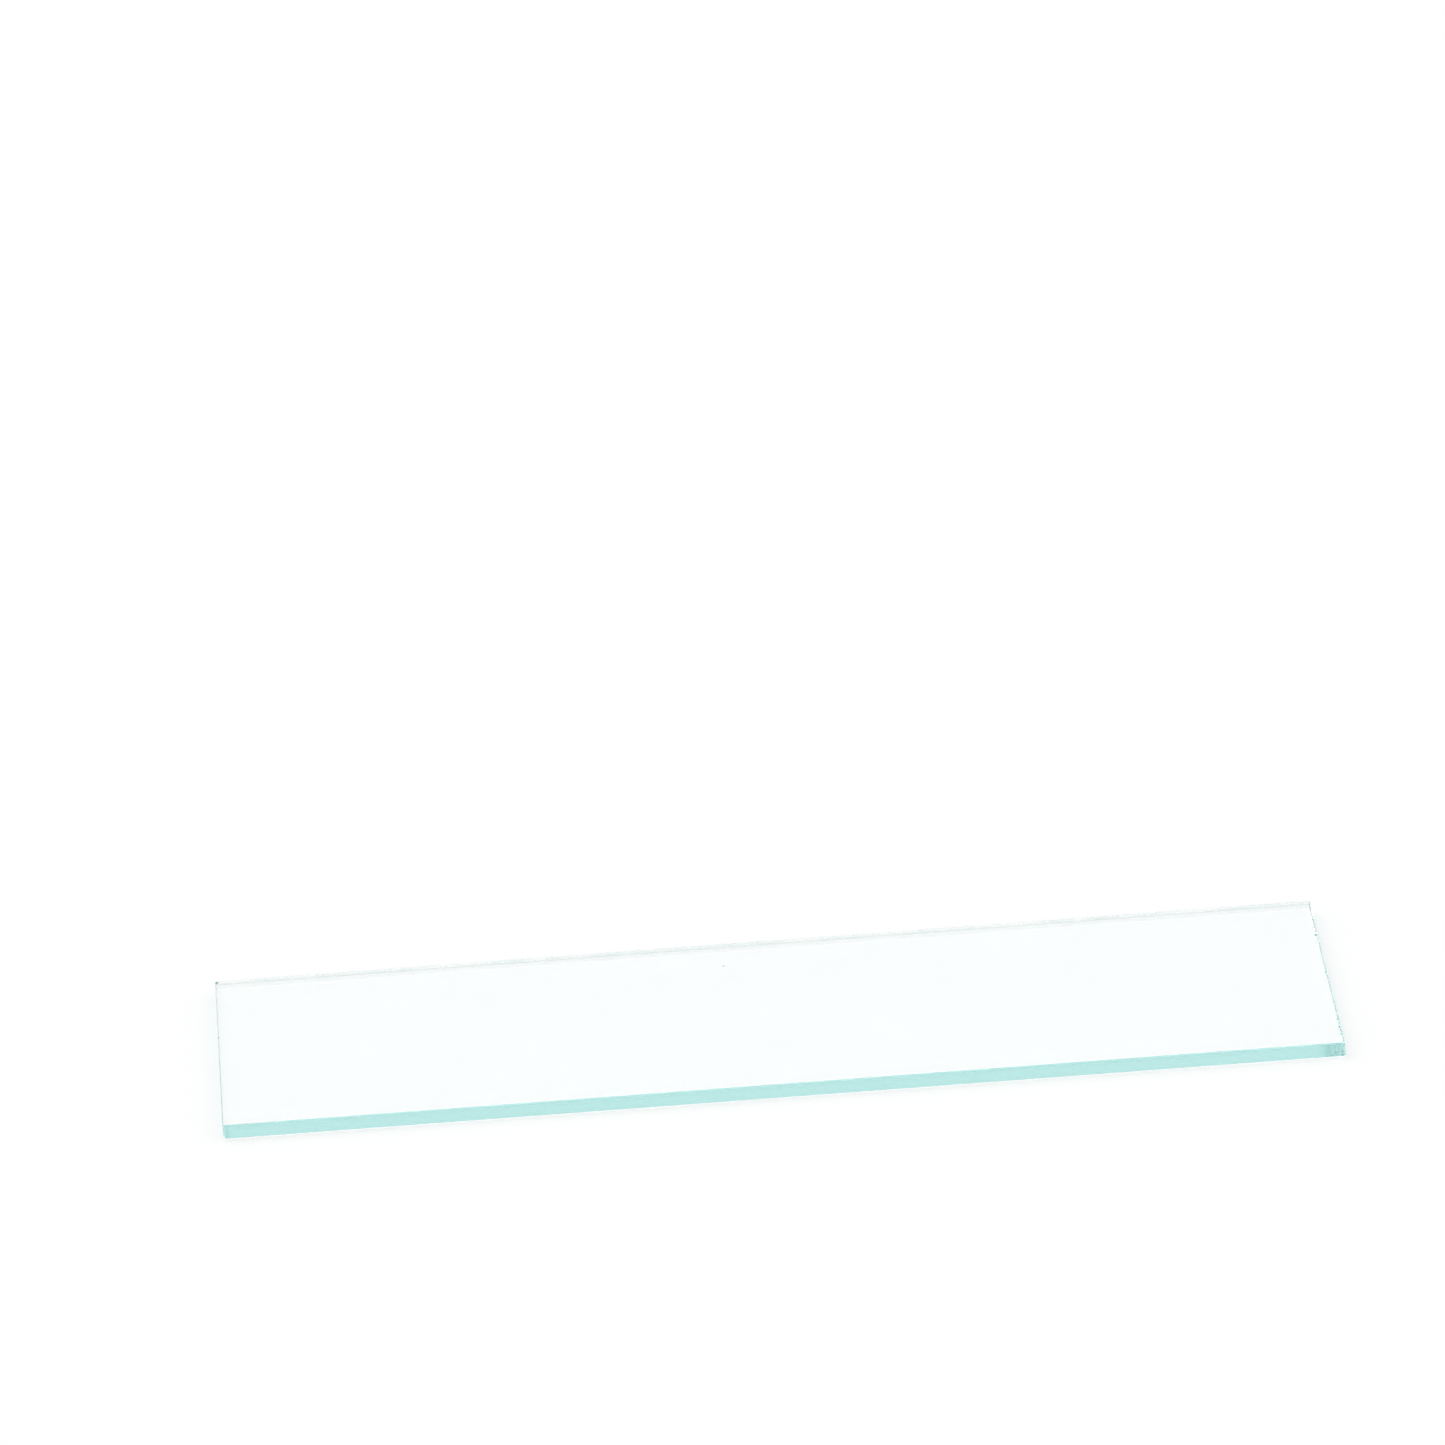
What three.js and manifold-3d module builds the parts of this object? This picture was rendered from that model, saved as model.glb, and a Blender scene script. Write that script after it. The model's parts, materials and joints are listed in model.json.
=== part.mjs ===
// A plain 3 x 1 inch microscope slide: one plate of clear soda-lime glass with ground edges.
//
// Millimetres. +X runs along the slide, +Y across it and +Z up. The origin is the middle of the face
// that the slide lies on. The plate is a bevelled extrusion, and the scars of its chipped edges are
// turned shapes that are cut out of it.

import * as THREE from "three";
import { mergeVertices } from "three/addons/utils/BufferGeometryUtils.js";
import Module from "manifold-3d";

const wasm = await Module();
wasm.setup();

// The plate.
const slideLength = 76.2;
const slideWidth = 25.4;
const slideThickness = 1;

// Its ground edges. A 45 degree bevel takes the sharpness off every arris, above and below, and the
// upright corners are dubbed: the polished faces end in this radius, and the ground ones stand outside it.
const arrisBevel = 0.045;
const faceCornerRadius = 0.1;
const cornerSteps = 4;

// A full-size flake scar: half a shallow bowl about the point where the edge was struck, with rings
// like a shell's that spread from that point. Its bowl leans this far from square to the surface that
// it runs over, and is deepest at the strike.
const flakeRadius = 0.36;
const flakeDepth = 0.11;
const flakeLean = 24;
const flakeSides = 20;
const ringHeight = 0.01;
const ringCount = 2;
const stepsPerRing = 4;

// A nibble is a small plain scar that the grinding wheel leaves. On an arris of wear 1, nibbles lie
// one pitch apart. Each strays from its even place by up to this share of the spacing, and takes its
// size, as a share of a full one, and its lean in degrees from these ranges.
const nibbleRadius = 0.13;
const nibbleDepth = 0.04;
const nibblePitch = 1.1;
const nibbleStray = 0.3;
const nibbleSizes = [0.5, 1.2];
const nibbleLeans = [25, 45];
const nibbleSides = 8;
const nibbleSteps = 3;

// Past its radius a scar's bowl runs straight on to this factor, which lifts its lid clear of the glass.
const bowlOverrun = 1.7;

// Points nearer than this are joined once the scars are cut. It is far below the finest ring.
const cutTolerance = 0.0005;

// The four edges, each walked anticlockwise seen from above. Heading is the way it runs, in degrees
// from +X, and offset is how far it stands from the origin. Wear sets how thickly nibbles lie on its
// two arrises.
const edges = {
  front: { heading: 0, length: slideLength, offset: slideWidth / 2, wear: { top: 0, bottom: 0 } },
  right: { heading: 90, length: slideWidth, offset: slideLength / 2, wear: { top: 0.3, bottom: 0.15 } },
  back: { heading: 180, length: slideLength, offset: slideWidth / 2, wear: { top: 0, bottom: 0 } },
  left: { heading: 270, length: slideWidth, offset: slideLength / 2, wear: { top: 0, bottom: 0 } },
};

// The flakes. Along is the share of the edge's length where the flake was struck, and size is a share
// of a full-size one. It runs over the polished face or down the ground edge.
const flakes = [
  { edge: "right", arris: "top", along: 0.062, size: 0.55, over: "face" },
  { edge: "right", arris: "top", along: 0.108, size: 0.8, over: "face" },
  { edge: "right", arris: "top", along: 0.152, size: 0.9, over: "edge" },
  { edge: "right", arris: "top", along: 0.33, size: 0.5, over: "edge" },
  { edge: "right", arris: "top", along: 0.49, size: 0.65, over: "face" },
  { edge: "right", arris: "top", along: 0.7, size: 0.6, over: "edge" },
  { edge: "right", arris: "top", along: 0.752, size: 1, over: "face" },
  { edge: "right", arris: "top", along: 0.86, size: 0.5, over: "face" },
  { edge: "right", arris: "bottom", along: 0.19, size: 0.6, over: "edge" },
  { edge: "left", arris: "top", along: 0.014, size: 0.7, over: "face" },
  { edge: "left", arris: "top", along: 0.4, size: 0.35, over: "face" },
  { edge: "left", arris: "bottom", along: 1, size: 1.15, over: "edge" },
  { edge: "front", arris: "bottom", along: 0, size: 0.6, over: "edge" },
];

// The one pit in the upper face, where a grain of grit bruised it: shares of the slide's length and
// width from the left end and the front edge, and its size.
const pit = { along: 0.461, across: 0.841, radius: 0.1, depth: 0.06 };
const pitSides = 16;
const pitSteps = 4;

const rightAngle = Math.PI / 2;

// The polished face's outline: a rectangle with rounded corners.
function faceOutline() {
  const x = slideLength / 2 - arrisBevel - faceCornerRadius;
  const y = slideWidth / 2 - arrisBevel - faceCornerRadius;
  const outline = new THREE.Shape();
  outline.absarc(x, y, faceCornerRadius, 0, rightAngle);
  outline.absarc(-x, y, faceCornerRadius, rightAngle, 2 * rightAngle);
  outline.absarc(-x, -y, faceCornerRadius, 2 * rightAngle, 3 * rightAngle);
  outline.absarc(x, -y, faceCornerRadius, 3 * rightAngle, 4 * rightAngle);
  return outline;
}

// The plate before it was chipped. The extrusion's own bevel is the ground one.
function plateGeometry() {
  const geometry = new THREE.ExtrudeGeometry(faceOutline(), {
    depth: slideThickness - 2 * arrisBevel,
    bevelSize: arrisBevel,
    bevelThickness: arrisBevel,
    bevelSegments: 1,
    curveSegments: cornerSteps,
  });
  return geometry.translate(0, 0, arrisBevel);
}

// The solid that a scar takes out, with the strike point at the origin and its axis along +Y: a bowl
// turned about that axis, whose underside may carry rings that fade towards its rim, and a flat lid.
function scarGeometry({ radius, depth, rings, steps, sides }) {
  const profile = [];
  for (let step = 0; step <= steps; step++) {
    const reach = step / steps;
    const bowl = depth * (reach * reach - 1);
    const ring = rings.height * Math.sin(Math.PI * reach) * Math.sin(2 * Math.PI * rings.count * reach);
    profile.push(new THREE.Vector2(radius * reach, bowl + ring));
  }
  const lid = depth * (bowlOverrun * bowlOverrun - 1);
  profile.push(new THREE.Vector2(radius * bowlOverrun, lid));
  profile.push(new THREE.Vector2(0, lid));
  return new THREE.LatheGeometry(profile, sides);
}

// Sets a scar on an arris. One that runs over the face was struck at the bevel's outer rim, and one
// that runs down the edge at its inner rim.
function onArris(geometry, { edge, arris, along, over }, lean) {
  const { heading, length, offset } = edges[edge];
  const overFace = over === "face";
  const up = arris === "top" ? 1 : -1;
  const fromNormal = THREE.MathUtils.degToRad(overFace ? lean : 90 - lean);
  const inwards = overFace ? 0 : arrisBevel;
  const below = overFace ? arrisBevel : 0;
  return geometry
    .rotateX(up * (rightAngle + fromNormal))
    .translate((along - 0.5) * length, inwards - offset, up > 0 ? slideThickness - below : below)
    .rotateZ(THREE.MathUtils.degToRad(heading));
}

function flakeScar(flake) {
  const geometry = scarGeometry({
    radius: flakeRadius * flake.size,
    depth: flakeDepth * flake.size,
    rings: { height: ringHeight * flake.size, count: ringCount },
    steps: ringCount * stepsPerRing,
    sides: flakeSides,
  });
  return onArris(geometry, flake, flakeLean);
}

function pitScar() {
  const { along, across, radius, depth } = pit;
  return scarGeometry({ radius, depth, rings: { height: 0, count: 0 }, steps: pitSteps, sides: pitSides })
    .rotateX(rightAngle)
    .translate((along - 0.5) * slideLength, (across - 0.5) * slideWidth, slideThickness);
}

// Rolls the same row of numbers between two ends on every build: a linear congruential generator.
function dice(seed) {
  const multiplier = 1664525;
  const increment = 1013904223;
  const modulus = 2 ** 32;
  let state = seed;
  return ([low, high]) => {
    state = (state * multiplier + increment) % modulus;
    return low + ((high - low) * state) / modulus;
  };
}

// Nibbles along one arris, unevenly spaced and no two alike.
function nibbleScars(edge, arris, seed) {
  const roll = dice(seed);
  const { length, wear } = edges[edge];
  const count = Math.round((length / nibblePitch) * wear[arris]);
  const scars = [];
  for (let n = 0; n < count; n++) {
    const along = (n + 0.5 + roll([-nibbleStray, nibbleStray])) / count;
    const size = roll(nibbleSizes);
    const geometry = scarGeometry({
      radius: nibbleRadius * size,
      depth: nibbleDepth * size,
      rings: { height: 0, count: 0 },
      steps: nibbleSteps,
      sides: nibbleSides,
    });
    const over = roll([-1, 1]) < 0 ? "face" : "edge";
    scars.push(onArris(geometry, { edge, arris, along, over }, roll(nibbleLeans)));
  }
  return scars;
}

// A closed geometry as a manifold-3d solid.
function toSolid(geometry) {
  geometry.deleteAttribute("normal");
  geometry.deleteAttribute("uv");
  const merged = mergeVertices(geometry);
  return new wasm.Manifold(
    new wasm.Mesh({
      numProp: 3,
      vertProperties: merged.attributes.position.array,
      triVerts: new Uint32Array(merged.index.array),
    }),
  );
}

function toGeometry(solid) {
  const { vertProperties, triVerts } = solid.getMesh();
  const geometry = new THREE.BufferGeometry();
  geometry.setAttribute("position", new THREE.BufferAttribute(vertProperties, 3));
  geometry.setIndex(new THREE.BufferAttribute(triVerts, 1));
  geometry.computeVertexNormals();
  return geometry;
}

// The whole slide, one piece of glass. Each arris rolls its nibbles from a seed of its own.
function slideGeometry() {
  const scars = [...flakes.map(flakeScar), pitScar()];
  let seed = 0;
  for (const edge of Object.keys(edges)) {
    for (const arris of ["top", "bottom"]) {
      seed += 1;
      scars.push(...nibbleScars(edge, arris, seed));
    }
  }
  const plate = toSolid(plateGeometry());
  const chipped = scars.reduce((glass, scar) => glass.subtract(toSolid(scar)), plate);
  return toGeometry(chipped.asOriginal().simplify(cutTolerance));
}

const clearGlass = new THREE.MeshStandardMaterial({
  color: 0xb8e8e5,
  roughness: 0.05,
  metalness: 0,
  transparent: true,
  opacity: 0.35,
  flatShading: true,
});

const glassSlide = new THREE.Mesh(slideGeometry(), clearGlass);
glassSlide.name = "glass_slide";

const slide = new THREE.Group();
slide.add(glassSlide);

export default slide;
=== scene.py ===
"""A plain 3 x 1 inch microscope slide: one plate of clear soda-lime glass with ground edges.

The CAD solid stays for collision, and this script shows the same plate in its place with its finest
forms: the wheel's relief on the ground edges, and every ring of each flake scar.
Lengths here are in millimetres and angles in degrees, and each mesh is turned to metres as it is
made. +X runs along the slide, +Y across it and +Z up.
"""

import json
import math

import bmesh
import bpy
from mathutils import Matrix, Vector, noise

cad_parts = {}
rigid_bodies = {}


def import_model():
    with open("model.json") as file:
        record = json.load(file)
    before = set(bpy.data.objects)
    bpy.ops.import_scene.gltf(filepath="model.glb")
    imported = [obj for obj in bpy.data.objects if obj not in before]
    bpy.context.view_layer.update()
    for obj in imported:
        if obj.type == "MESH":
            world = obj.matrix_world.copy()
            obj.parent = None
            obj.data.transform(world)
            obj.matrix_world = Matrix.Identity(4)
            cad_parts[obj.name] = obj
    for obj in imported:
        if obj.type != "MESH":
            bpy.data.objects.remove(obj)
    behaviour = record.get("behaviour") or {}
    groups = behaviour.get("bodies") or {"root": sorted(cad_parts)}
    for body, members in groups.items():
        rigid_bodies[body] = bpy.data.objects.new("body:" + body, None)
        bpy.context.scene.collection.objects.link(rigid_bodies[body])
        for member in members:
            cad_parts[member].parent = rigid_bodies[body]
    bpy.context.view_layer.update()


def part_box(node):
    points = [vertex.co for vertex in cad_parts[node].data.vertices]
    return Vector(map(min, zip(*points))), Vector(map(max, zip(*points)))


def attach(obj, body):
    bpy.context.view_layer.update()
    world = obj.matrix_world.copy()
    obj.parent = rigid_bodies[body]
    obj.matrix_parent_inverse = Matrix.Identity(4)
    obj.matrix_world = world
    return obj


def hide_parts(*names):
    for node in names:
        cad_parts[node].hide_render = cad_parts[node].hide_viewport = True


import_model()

MM = 0.001
RIGHT_ANGLE = math.pi / 2

# The plate, from the CAD solid, and its ground edges as the solid has them.
slide_low, slide_high = (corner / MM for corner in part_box("glass_slide"))
slide_length, slide_width, slide_thickness = slide_high - slide_low
arris_bevel = 0.045
face_corner_radius = 0.1
corner_steps = 8

# The ground edges' mesh: its spacing along the edge, and its rows up a bevel and up the wall.
relief_step = 0.1
bevel_rows = 1
wall_rows = 10

# The wheel's relief. Slow waves come from the slide being fed past it. The grit leaves fine lines that
# run along the edge, drawn at three times their real pitch of 0.05 mm so that they show. Both only
# take glass away.
wave_length = 3.0
wave_depth = 0.004
grit_run = 4.0
grit_pitch = 0.15
grit_depth = 0.001

# A full-size flake scar: half a shallow bowl with rings like a shell's round the strike point.
flake_radius = 0.36
flake_depth = 0.11
flake_lean = 24
flake_sides = 48
ring_height = 0.01
ring_count = 2
steps_per_ring = 8

# The small plain scars that the grinding wheel leaves along each arris.
nibble_radius = 0.13
nibble_depth = 0.04
nibble_pitch = 1.1
nibble_stray = 0.3
nibble_sizes = (0.5, 1.2)
nibble_leans = (25, 45)
nibble_sides = 20
nibble_steps = 6

# Past its radius a scar's bowl runs straight on to this factor, which lifts its lid clear of the glass.
bowl_overrun = 1.7

# Where the surface folds by more than this, it shows as a sharp edge.
crease_angle = 28

# The four edges, each walked anticlockwise seen from above: the way it runs from +X, its length, how
# far it stands from the middle, and how thickly nibbles lie on its top and bottom arris.
edges = {
    "front": {"heading": 0, "length": slide_length, "offset": slide_width / 2, "wear": (0, 0)},
    "right": {"heading": 90, "length": slide_width, "offset": slide_length / 2, "wear": (0.3, 0.15)},
    "back": {"heading": 180, "length": slide_length, "offset": slide_width / 2, "wear": (0, 0)},
    "left": {"heading": 270, "length": slide_width, "offset": slide_length / 2, "wear": (0, 0)},
}

# The flakes: edge, arris, share of the edge's length where it was struck, share of a full-size
# flake, and whether it runs over the polished face or down the ground edge.
flakes = [
    ("right", "top", 0.062, 0.55, "face"),
    ("right", "top", 0.108, 0.8, "face"),
    ("right", "top", 0.152, 0.9, "edge"),
    ("right", "top", 0.33, 0.5, "edge"),
    ("right", "top", 0.49, 0.65, "face"),
    ("right", "top", 0.7, 0.6, "edge"),
    ("right", "top", 0.752, 1, "face"),
    ("right", "top", 0.86, 0.5, "face"),
    ("right", "bottom", 0.19, 0.6, "edge"),
    ("left", "top", 0.014, 0.7, "face"),
    ("left", "top", 0.4, 0.35, "face"),
    ("left", "bottom", 1, 1.15, "edge"),
    ("front", "bottom", 0, 0.6, "edge"),
]

# The one pit in the upper face, where a grain of grit bruised it: shares of the slide's length and
# width from the left end and the front edge, and its size.
pit_along, pit_across = 0.461, 0.841
pit_radius = 0.1
pit_depth = 0.06
pit_sides = 32
pit_steps = 8

# Soda-lime glass. Iron in it takes red from light: white light has this colour after this depth.
glass_ior = 1.52
glass_tint = "#B8E8E5"
glass_tint_depth = 28

# A finish's roughness drifts from one value to another as a soft noise crosses this span of its range
# of 0 to 1. The noise is drawn at a size along each of the slide's three axes.
even_span = (0.3, 0.7)
cloud_detail = 3

# Polished: a wiped cloth leaves streaks 4 mm wide and 16 mm long, turned a little from the slide's
# length. Their span starts late, which leaves most of a face clear.
smear_size = (16, 4, 16)
smear_turn = 17
smear_span = (0.5, 0.8)
polished_roughness = (0, 0.03)

# Ground: the wheel's finest lines are drawn at two and a half times their real pitch of 0.05 mm, and
# the patches where it pressed less are about 2 mm across.
line_size = (3.3, 3.3, 0.125)
line_depth = 0.001
line_detail = 2
patch_size = (2, 2, 2)
ground_roughness = (0.1, 0.19)

# Seamed: the belt's grit is drawn at five times its real 0.1 mm.
belt_grit_size = (0.5, 0.5, 0.5)
seamed_roughness = (0.6, 0.85)

# Fractured: the same all over.
fractured_roughness = 0.1

# The camera has a long lens and looks down a little on the bench. The slide lies turned and the
# picture tilted by a few degrees, and the camera aims above and to the left of the slide's middle.
camera_lens = 329
camera_sensor = 36
camera_near = 50
camera_far = 20000
camera_distance = 905
camera_elevation = 21.65
camera_turn = 1.87
camera_tilt = 3.5
camera_aim_left = 3.5
camera_aim_above = 19.8

# White all round, at a level where a colour renders as it is written. The world gives this share of
# it to matt surfaces, and one broad lamp behind the slide and to its left gives the rest.
world_share = 0.75
lamp_bearing = 120
lamp_height = 55
lamp_spread = 50

# The floor is matt white card, a hair's breadth below the slide. The camera sees this share of it as
# even white, like a lit table, and the rest takes the light and the slide's shadow.
floor_white = "#FFFFFF"
floor_glow = 0.65
floor_gap = 0.05
floor_size = 9000

# Light goes down the plate between its two faces for many bounces before it leaves at an edge.
light_bounces = 160


def linear(hex_colour):
    """An sRGB hex colour as linear red, green, blue and alpha."""
    shares = [int(hex_colour[i : i + 2], 16) / 255 for i in (1, 3, 5)]
    return (*(s / 12.92 if s <= 0.04045 else ((s + 0.055) / 1.055) ** 2.4 for s in shares), 1)


def add(tree, kind, inputs, **settings):
    """Adds a node. Each of its inputs is a value or another node's output."""
    node = tree.nodes.new(kind)
    for name, value in settings.items():
        setattr(node, name, value)
    for name, value in inputs.items():
        if isinstance(value, bpy.types.NodeSocket):
            tree.links.new(value, node.inputs[name])
        else:
            node.inputs[name].default_value = value
    return node


def new_material(name):
    material = bpy.data.materials.new(name)
    material.use_nodes = True
    material.node_tree.nodes.clear()
    return material


def to_object(name, shape, materials, collection):
    """Turns a bmesh in millimetres into an object in metres."""
    mesh = bpy.data.meshes.new(name)
    bmesh.ops.transform(shape, matrix=Matrix.Scale(MM, 4), verts=shape.verts)
    shape.to_mesh(mesh)
    shape.free()
    for material in materials:
        mesh.materials.append(material)
    made = bpy.data.objects.new(name, mesh)
    collection.objects.link(made)
    return made


# The glass and its four finishes.


def soda_lime(name, finish):
    """Clear soda-lime glass. Finish gives the surface's inputs, and the tint is in the depth. The
    density is twice what the strongest tint needs, so each part of the colour stays above 0."""
    material = new_material(name)
    tree = material.node_tree
    inputs = {"Base Color": (1, 1, 1, 1), "Transmission Weight": 1, "IOR": glass_ior}
    surface = add(tree, "ShaderNodeBsdfPrincipled", {**inputs, **finish(tree)})
    taken = [-math.log(share) / (glass_tint_depth * MM) for share in linear(glass_tint)[:3]]
    density = 2 * max(taken)
    colour = (*(1 - each / density for each in taken), 1)
    inside = add(tree, "ShaderNodeVolumeAbsorption", {"Color": colour, "Density": density})
    add(
        tree,
        "ShaderNodeOutputMaterial",
        {"Surface": surface.outputs["BSDF"], "Volume": inside.outputs["Volume"]},
    )
    return material


def clouds(tree, size, turn=0, detail=cloud_detail):
    """A soft noise drawn at this size, and turned about the upright axis."""
    place = add(tree, "ShaderNodeTexCoord", {}).outputs["Object"]
    drawn = {"Rotation": (0, 0, math.radians(turn)), "Scale": [each * MM for each in size]}
    spread = add(tree, "ShaderNodeMapping", {"Vector": place, **drawn}, vector_type="TEXTURE")
    soft = {"Vector": spread.outputs["Vector"], "Scale": 1, "Detail": detail}
    return add(tree, "ShaderNodeTexNoise", soft).outputs["Fac"]


def drifting(tree, values, size, turn=0, span=even_span):
    """Goes from the first value to the second as clouds of this size cross this span."""
    ends = {"From Min": span[0], "From Max": span[1], "To Min": values[0], "To Max": values[1]}
    drift = add(tree, "ShaderNodeMapRange", {"Value": clouds(tree, size, turn), **ends})
    return drift.outputs["Result"]


def polished(tree):
    """Float glass as it came off the tin bath: flat and clear, with the faint smear of a wiped cloth."""
    smear = drifting(tree, polished_roughness, smear_size, smear_turn, smear_span)
    return {"Roughness": smear}


def ground(tree):
    """An edge ground on a diamond wheel: satin, with fine lines along the wheel's path, and glossier
    patches where it pressed less."""
    lines = {"Height": clouds(tree, line_size, detail=line_detail), "Distance": line_depth * MM}
    relief = add(tree, "ShaderNodeBump", lines)
    satin = drifting(tree, ground_roughness, patch_size)
    return {"Roughness": satin, "Normal": relief.outputs["Normal"]}


def seamed(tree):
    """An arris taken off with an abrasive belt: matt and almost white, like frost."""
    return {"Roughness": drifting(tree, seamed_roughness, belt_grit_size)}


def fractured(tree):
    """Glass where a flake broke away: glossy, dulled a little by the fine hackle round the blow."""
    return {"Roughness": fractured_roughness}


finishes = [
    soda_lime("float_polished_soda_lime_glass", polished),
    soda_lime("diamond_ground_soda_lime_glass", ground),
    soda_lime("belt_seamed_soda_lime_glass", seamed),
    soda_lime("fresh_fractured_soda_lime_glass", fractured),
]
POLISHED, GROUND, SEAMED, FRACTURED = range(len(finishes))


# The plate.


def face_border():
    """Points round the polished faces' border, anticlockwise, each with its outward direction."""
    inset = arris_bevel + face_corner_radius
    reach = Vector((slide_length / 2 - inset, slide_width / 2 - inset, 0))
    arcs = []
    for quarter, (side_x, side_y) in enumerate([(1, 1), (-1, 1), (-1, -1), (1, -1)]):
        centre = Vector((side_x * reach.x, side_y * reach.y, 0))
        for step in range(corner_steps + 1):
            angle = RIGHT_ANGLE * (quarter + step / corner_steps)
            outwards = Vector((math.cos(angle), math.sin(angle), 0))
            arcs.append((centre + outwards * face_corner_radius, outwards))
    border = []
    for (point, outwards), (after, _) in zip(arcs, arcs[1:] + arcs[:1]):
        steps = max(1, round((after - point).length / relief_step))
        border += [(point.lerp(after, step / steps), outwards) for step in range(steps)]
    return border


def edge_section():
    """(distance out from the face's border, height) of each row of the ground edge, going up."""
    slope = [arris_bevel * row / bevel_rows for row in range(bevel_rows)]
    wall = slide_thickness - 2 * arris_bevel
    rows = [(out, out) for out in slope]
    rows += [(arris_bevel, arris_bevel + wall * row / wall_rows) for row in range(wall_rows + 1)]
    rows += [(out, slide_thickness - out) for out in reversed(slope)]
    return rows


def wheel_cut(place):
    """How far the wheel cut past the true edge here."""
    along_run = Vector((place.x / grit_run, place.y / grit_run, place.z / grit_pitch))
    wave = wave_depth * (1 + noise.noise(place / wave_length)) / 2
    grit = grit_depth * (1 + noise.noise(along_run)) / 2
    return wave + grit


def plate():
    """The plate before it was chipped, as a bmesh in millimetres."""
    shape = bmesh.new()
    border = face_border()
    rows = []
    for out, height in edge_section():
        row = []
        for point, outwards in border:
            place = point + outwards * out + Vector((0, 0, height))
            row.append(shape.verts.new(place - outwards * wheel_cut(place)))
        rows.append(row)
    for level, (lower, upper) in enumerate(zip(rows, rows[1:])):
        on_wall = bevel_rows <= level < bevel_rows + wall_rows
        for n in range(len(border)):
            after = (n + 1) % len(border)
            face = shape.faces.new((lower[n], lower[after], upper[after], upper[n]))
            face.material_index = GROUND if on_wall else SEAMED
    shape.faces.new(reversed(rows[0])).material_index = POLISHED
    shape.faces.new(rows[-1]).material_index = POLISHED
    return shape


def scar(radius, depth, ring, rings, steps, sides):
    """The solid that a scar takes out: a ringed bowl about +Y, sunk below the strike point at the
    origin, with a flat lid above it."""
    profile = []
    for step in range(steps + 1):
        reach = step / steps
        bowl = depth * (reach * reach - 1)
        wave = ring * math.sin(math.pi * reach) * math.sin(2 * math.pi * rings * reach)
        profile.append((radius * reach, bowl + wave))
    lid = depth * (bowl_overrun * bowl_overrun - 1)
    profile.append((radius * bowl_overrun, lid))
    shape = bmesh.new()
    rows = []
    for out, height in profile[1:]:
        turns = [2 * math.pi * side / sides for side in range(sides)]
        rows.append([shape.verts.new((out * math.sin(a), height, out * math.cos(a))) for a in turns])
    bottom = shape.verts.new((0, profile[0][1], 0))
    for n in range(sides):
        after = (n + 1) % sides
        shape.faces.new((bottom, rows[0][n], rows[0][after]))
        for inner, outer in zip(rows, rows[1:]):
            shape.faces.new((inner[n], outer[n], outer[after], inner[after]))
    shape.faces.new(rows[-1])
    bmesh.ops.recalc_face_normals(shape, faces=shape.faces)
    return shape


def set_on_arris(shape, edge, arris, along, over, lean):
    """Turns a scar to its arris. One over the face was struck at the bevel's outer rim, and one down
    the edge at its inner rim."""
    walk = edges[edge]
    over_face = over == "face"
    up = 1 if arris == "top" else -1
    from_normal = math.radians(lean if over_face else 90 - lean)
    inwards = 0 if over_face else arris_bevel
    below = arris_bevel if over_face else 0
    height = slide_thickness - below if up > 0 else below
    place = Vector(((along - 0.5) * walk["length"], inwards - walk["offset"], height))
    turn = (
        Matrix.Rotation(math.radians(walk["heading"]), 4, "Z")
        @ Matrix.Translation(place)
        @ Matrix.Rotation(up * (RIGHT_ANGLE + from_normal), 4, "X")
    )
    bmesh.ops.transform(shape, matrix=turn, verts=shape.verts)
    return shape


def flake_scars():
    scars = []
    for edge, arris, along, size, over in flakes:
        shape = scar(
            flake_radius * size,
            flake_depth * size,
            ring_height * size,
            ring_count,
            ring_count * steps_per_ring,
            flake_sides,
        )
        scars.append(set_on_arris(shape, edge, arris, along, over, flake_lean))
    return scars


def pit_scar():
    shape = scar(pit_radius, pit_depth, 0, 0, pit_steps, pit_sides)
    place = Vector(((pit_along - 0.5) * slide_length, (pit_across - 0.5) * slide_width, slide_thickness))
    turn = Matrix.Translation(place) @ Matrix.Rotation(RIGHT_ANGLE, 4, "X")
    bmesh.ops.transform(shape, matrix=turn, verts=shape.verts)
    return shape


def dice(seed):
    """Rolls the same row of numbers between two ends on every run, as the CAD source does."""
    multiplier, increment, modulus = 1664525, 1013904223, 2**32
    state = seed

    def roll(low, high):
        nonlocal state
        state = (state * multiplier + increment) % modulus
        return low + (high - low) * state / modulus

    return roll


def nibble_scars():
    scars = []
    arrises = [(edge, side, arris) for edge in edges for side, arris in enumerate(("top", "bottom"))]
    for seed, (edge, side, arris) in enumerate(arrises, 1):
        roll = dice(seed)
        # Halves round up here, as they do in the CAD source.
        count = math.floor(edges[edge]["length"] / nibble_pitch * edges[edge]["wear"][side] + 0.5)
        for n in range(count):
            along = (n + 0.5 + roll(-nibble_stray, nibble_stray)) / count
            size = roll(*nibble_sizes)
            over = "face" if roll(-1, 1) < 0 else "edge"
            shape = scar(nibble_radius * size, nibble_depth * size, 0, 0, nibble_steps, nibble_sides)
            scars.append(set_on_arris(shape, edge, arris, along, over, roll(*nibble_leans)))
    return scars


def sharpen(mesh):
    """Smooth shading that breaks at creases and where one finish meets another. Polished faces are
    flat."""
    shape = bmesh.new()
    shape.from_mesh(mesh)
    for face in shape.faces:
        face.smooth = face.material_index != POLISHED
    for edge in shape.edges:
        one, other = edge.link_faces
        same = one.material_index == other.material_index
        edge.smooth = same and edge.calc_face_angle(0) < math.radians(crease_angle)
    shape.to_mesh(mesh)
    shape.free()


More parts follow.
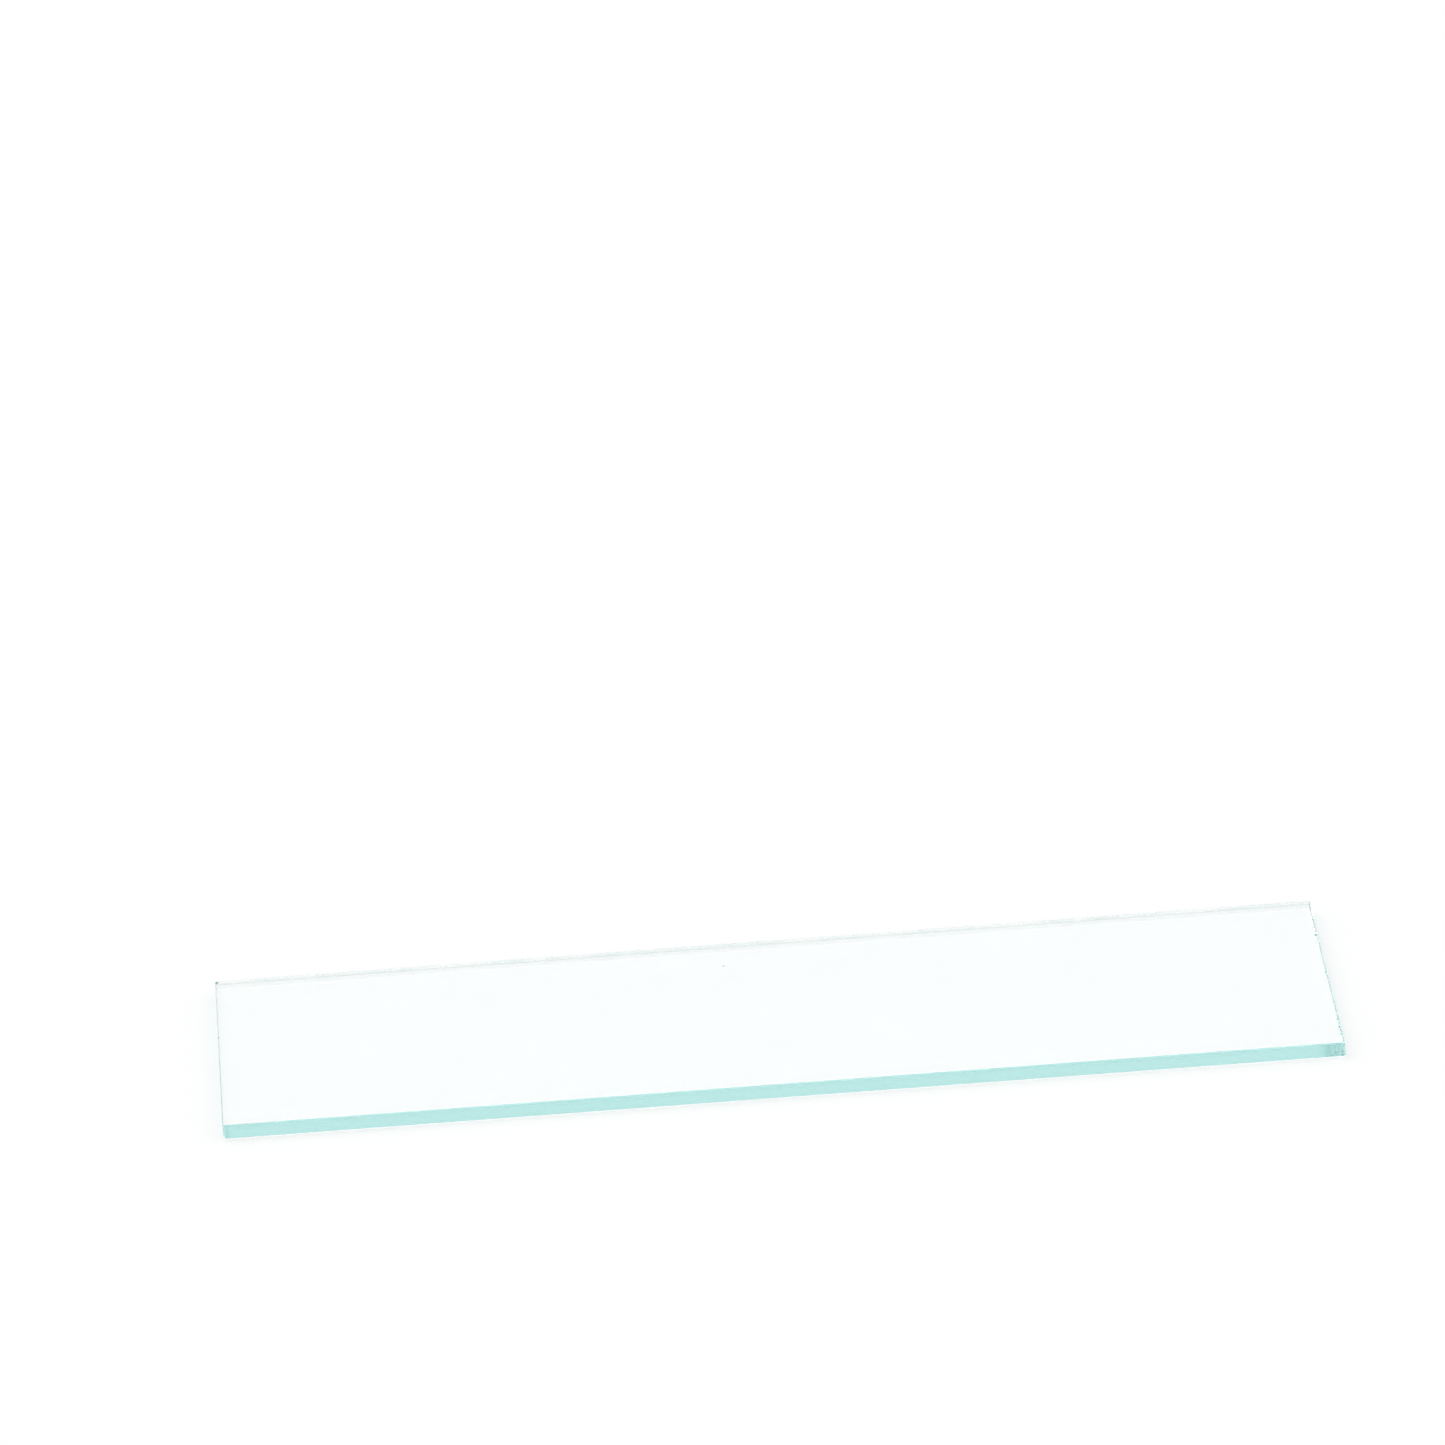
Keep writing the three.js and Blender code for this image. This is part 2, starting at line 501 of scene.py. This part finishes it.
def chipped_plate():
    """The whole slide, one piece of glass."""
    scene = bpy.context.scene
    uncut = to_object("uncut_plate", plate(), finishes, scene.collection)
    tools = bpy.data.collections.new("scars")
    scene.collection.children.link(tools)
    for shape in [*flake_scars(), pit_scar()]:
        to_object("flake", shape, [finishes[FRACTURED]], tools)
    for shape in nibble_scars():
        to_object("nibble", shape, [finishes[SEAMED]], tools)
    chips = uncut.modifiers.new("chips", "BOOLEAN")
    chips.operand_type = "COLLECTION"
    chips.collection = tools
    chips.solver = "MANIFOLD"
    chips.material_mode = "TRANSFER"
    cut = uncut.evaluated_get(bpy.context.evaluated_depsgraph_get())
    mesh = bpy.data.meshes.new_from_object(cut)
    for tool in list(tools.objects):
        bpy.data.objects.remove(tool)
    bpy.data.collections.remove(tools)
    bpy.data.objects.remove(uncut)
    sharpen(mesh)
    mesh.name = "slide_plate"
    slide = bpy.data.objects.new("slide_plate", mesh)
    scene.collection.objects.link(slide)
    return slide


slide_plate = chipped_plate()
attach(slide_plate, "root")
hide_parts("glass_slide")


# The floor, the light and the camera.


def seen(tree):
    """1 on what the camera, a reflection or the glass sees, and 0 on what only gives light."""
    path = add(tree, "ShaderNodeLightPath", {})
    sight = path.outputs["Is Camera Ray"]
    for ray in ("Is Glossy Ray", "Is Transmission Ray"):
        either = add(
            tree, "ShaderNodeMath", {0: sight, 1: path.outputs[ray]}, operation="MAXIMUM"
        )
        sight = either.outputs["Value"]
    # Past a matt surface a ray only brings light, even where it then goes through glass.
    direct = add(
        tree, "ShaderNodeMath", {0: path.outputs["Diffuse Depth"], 1: 0.5}, operation="LESS_THAN"
    )
    both = add(tree, "ShaderNodeMath", {0: sight, 1: direct.outputs["Value"]}, operation="MULTIPLY")
    return both.outputs["Value"]


def white_floor():
    """Matt white card: even white without shine, which still takes the slide's soft shadow."""
    material = new_material("matt_white_card")
    tree = material.node_tree
    card = add(tree, "ShaderNodeBsdfDiffuse", {"Color": linear(floor_white)})
    lit = add(tree, "ShaderNodeEmission", {"Color": linear(floor_white), "Strength": 1})
    share = add(tree, "ShaderNodeMath", {0: seen(tree), 1: floor_glow}, operation="MULTIPLY")
    both = add(
        tree,
        "ShaderNodeMixShader",
        {0: share.outputs["Value"], 1: card.outputs["BSDF"], 2: lit.outputs["Emission"]},
    )
    add(tree, "ShaderNodeOutputMaterial", {"Surface": both.outputs["Shader"]})
    shape = bmesh.new()
    bmesh.ops.create_grid(shape, size=floor_size / 2)
    bmesh.ops.translate(shape, verts=shape.verts, vec=(0, 0, -floor_gap))
    to_object("white_floor", shape, [material], bpy.context.scene.collection)


def white_world():
    """White to look at, and a share of that as light on matt surfaces."""
    world = bpy.data.worlds.new("white_studio")
    bpy.context.scene.world = world
    world.use_nodes = True
    tree = world.node_tree
    tree.nodes.clear()
    level = add(
        tree, "ShaderNodeMapRange", {"Value": seen(tree), "To Min": world_share, "To Max": 1}
    )
    sky = add(
        tree,
        "ShaderNodeBackground",
        {"Color": (1, 1, 1, 1), "Strength": level.outputs["Result"]},
    )
    add(tree, "ShaderNodeOutputWorld", {"Surface": sky.outputs["Background"]})


def soft_lamp():
    """A broad far lamp. It brings a white floor the light that the world leaves short of white."""
    lamp = bpy.data.lights.new("soft_lamp", "SUN")
    lamp.angle = math.radians(lamp_spread)
    lamp.energy = (1 - world_share) * math.pi / math.sin(math.radians(lamp_height))
    made = bpy.data.objects.new("soft_lamp", lamp)
    made.matrix_world = Matrix.Rotation(math.radians(lamp_bearing), 4, "Z") @ Matrix.Rotation(
        math.radians(90 - lamp_height), 4, "Y"
    )
    bpy.context.scene.collection.objects.link(made)


def camera():
    data = bpy.data.cameras.new("camera")
    data.lens = camera_lens
    data.sensor_width = camera_sensor
    data.clip_start = camera_near * MM
    data.clip_end = camera_far * MM
    turn = (
        Matrix.Rotation(math.radians(-camera_turn), 4, "Z")
        @ Matrix.Rotation(math.radians(90 - camera_elevation), 4, "X")
        @ Matrix.Rotation(math.radians(-camera_tilt), 4, "Z")
    )
    middle = Vector((0, 0, slide_thickness))
    from_middle = Vector((-camera_aim_left, camera_aim_above, camera_distance))
    eye = (middle + turn.to_3x3() @ from_middle) * MM
    made = bpy.data.objects.new("camera", data)
    made.matrix_world = Matrix.Translation(eye) @ turn
    bpy.context.scene.collection.objects.link(made)
    bpy.context.scene.camera = made


white_floor()
white_world()
soft_lamp()
camera()

scene = bpy.context.scene
scene.view_settings.view_transform = "Standard"

scene.cycles.max_bounces = light_bounces
scene.cycles.glossy_bounces = light_bounces
scene.cycles.transmission_bounces = light_bounces

# Light reaches the floor under the glass only if it isn't blurred on the way.
scene.cycles.blur_glossy = 0
